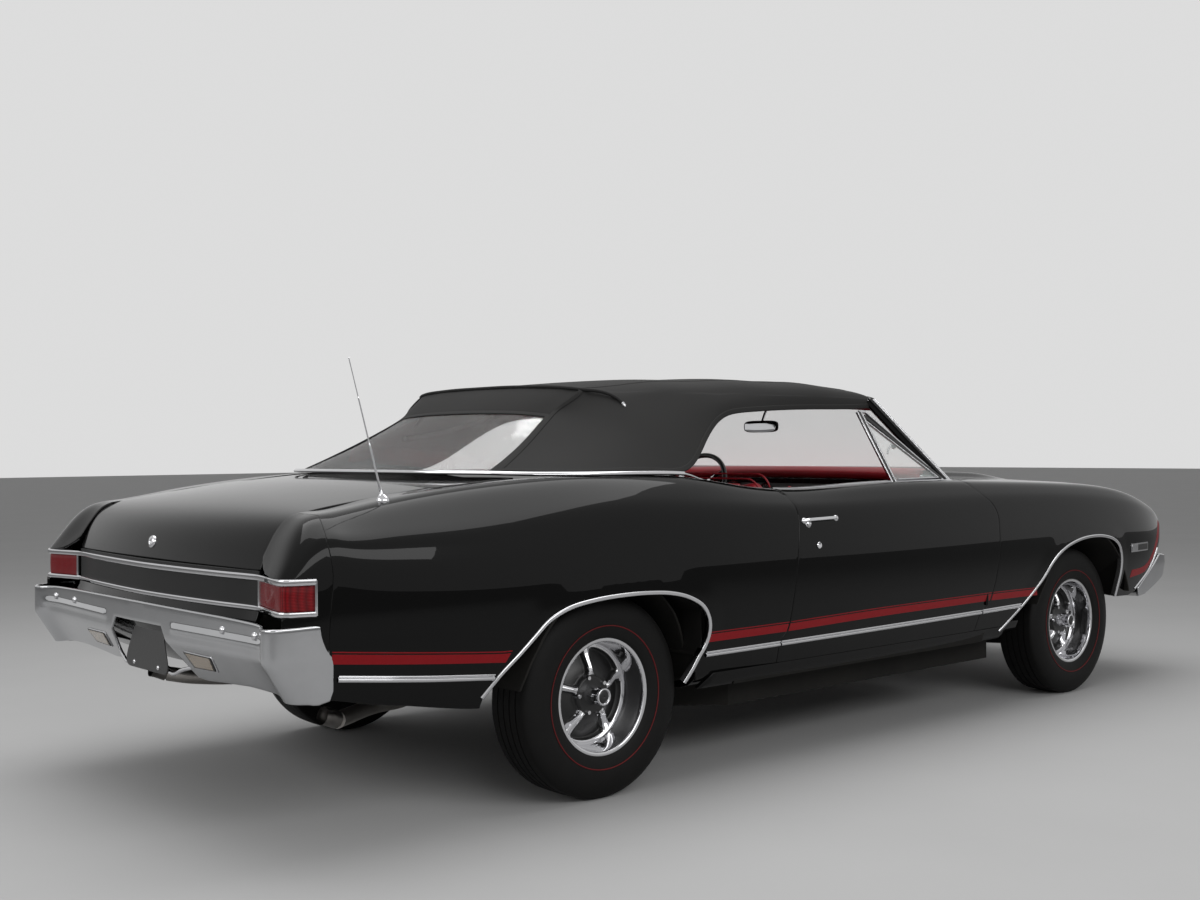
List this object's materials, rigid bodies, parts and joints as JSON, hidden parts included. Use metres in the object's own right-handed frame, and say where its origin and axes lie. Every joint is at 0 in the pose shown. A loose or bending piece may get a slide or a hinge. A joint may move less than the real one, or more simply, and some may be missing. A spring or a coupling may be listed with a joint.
{
  "type": "two-door convertible muscle car",
  "caption": "Two-door convertible car with fabric top up, opening doors, hood and trunk, steered front wheels and free-rolling spoked wheels.",
  "frame": {"origin": "on the ground under the centre of the car's box", "axes": "front towards -Y, driver's (left) side +X, up +Z"},
  "size_m": [1.923, 5.0057, 1.407],
  "materials": {
    "body_paint": "deep gloss",
    "matte_black_paint": "matte",
    "chassis_paint": "satin",
    "chrome": "mirror polish",
    "glass": "clear",
    "clear_vinyl": "clear, slightly wavy",
    "top_fabric": "matte grained",
    "grille_plastic": "satin",
    "lamp_glass": "clear",
    "red_lens": "gloss",
    "engine_iron": "painted",
    "bare_steel": "dull",
    "tyre_rubber": "satin",
    "red_vinyl": "soft sheen",
    "black_plastic": "gloss"
  },
  "bodies": {
    "body": {"control_arms": "chassis_paint", "convertible_top": "top_fabric", "cowl": "body_paint", "dashboard": "red_vinyl", "deck_panel": "body_paint", "engine_block": "engine_iron", "exhaust_system": "bare_steel", "floor_pan": "chassis_paint", "frame": "chassis_paint", "front_bumper": "chrome", "front_fender_left": "body_paint", "front_fender_right": "body_paint", "front_seats": "red_vinyl", "fuel_tank": "bare_steel", "grille": "grille_plastic", "headlamps": "lamp_glass", "nose_panel": "body_paint", "quarter_panel_left": "body_paint", "quarter_panel_right": "body_paint", "rear_axle": "chassis_paint", "rear_bumper": "chrome", "rear_seat": "red_vinyl", "rear_window": "clear_vinyl", "tail_lamps": "red_lens", "tail_panel": "matte_black_paint", "top_frame": "chassis_paint", "wheelhouses": "chassis_paint", "windshield_frame": "chrome", "windshield_glass": "glass"},
    "door_left": {"door_left": "body_paint", "vent_glass_left": "glass"},
    "door_right": {"door_right": "body_paint", "vent_glass_right": "glass"},
    "hood": {"hood": "body_paint"},
    "trunk_lid": {"trunk_lid": "body_paint"},
    "knuckle_left": {"knuckle_left": "chassis_paint"},
    "knuckle_right": {"knuckle_right": "chassis_paint"},
    "steering_wheel": {"steering_wheel": "black_plastic"},
    "wheel_front_left": {"rim_front_left": "chrome", "tyre_front_left": "tyre_rubber"},
    "wheel_front_right": {"rim_front_right": "chrome", "tyre_front_right": "tyre_rubber"},
    "wheel_rear_left": {"rim_rear_left": "chrome", "tyre_rear_left": "tyre_rubber"},
    "wheel_rear_right": {"rim_rear_right": "chrome", "tyre_rear_right": "tyre_rubber"}
  },
  "joints": [
    {"name": "door_left_hinge", "type": "hinge", "parent": "body", "child": "door_left", "pos_m": [0.9345, -0.7404, 0.64], "axis": [0, 0, -1], "range_deg": [0, 62]},
    {"name": "door_right_hinge", "type": "hinge", "parent": "body", "child": "door_right", "pos_m": [-0.9345, -0.7404, 0.64], "axis": [0, 0, 1], "range_deg": [0, 62]},
    {"name": "hood_hinge", "type": "hinge", "parent": "body", "child": "hood", "pos_m": [0, -0.8904, 0.982], "axis": [-1, 0, 0], "range_deg": [0, 50]},
    {"name": "trunk_hinge", "type": "hinge", "parent": "body", "child": "trunk_lid", "pos_m": [0, 1.83913, 1.0235], "axis": [1, 0, 0], "range_deg": [0, 72]},
    {"name": "steer_left", "type": "hinge", "parent": "body", "child": "knuckle_left", "pos_m": [0.69, -1.5454, 0.329], "axis": [0, 0, 1], "range_deg": [-30, 30]},
    {"name": "steer_right", "type": "hinge", "parent": "body", "child": "knuckle_right", "pos_m": [-0.69, -1.5454, 0.329], "axis": [0, 0, 1], "range_deg": [-30, 30]},
    {"name": "steering_wheel_turn", "type": "hinge", "parent": "body", "child": "steering_wheel", "pos_m": [0.38, -0.3404, 0.925], "axis": [0, 0.8829, 0.4695], "range_deg": [-525, 525]},
    {"name": "spin_front_left", "type": "hinge", "parent": "knuckle_left", "child": "wheel_front_left", "pos_m": [0.762, -1.5454, 0.329], "axis": [1, 0, 0], "continuous": true},
    {"name": "spin_front_right", "type": "hinge", "parent": "knuckle_right", "child": "wheel_front_right", "pos_m": [-0.762, -1.5454, 0.329], "axis": [1, 0, 0], "continuous": true},
    {"name": "spin_rear_left", "type": "hinge", "parent": "body", "child": "wheel_rear_left", "pos_m": [0.762, 1.2996, 0.329], "axis": [1, 0, 0], "continuous": true},
    {"name": "spin_rear_right", "type": "hinge", "parent": "body", "child": "wheel_rear_right", "pos_m": [-0.762, 1.2996, 0.329], "axis": [1, 0, 0], "continuous": true}
  ],
  "couplings": [
    {"joint": "steer_right", "follows": "steer_left", "ratio": 1},
    {"joint": "steering_wheel_turn", "follows": "steer_left", "ratio": 17.5}
  ]
}
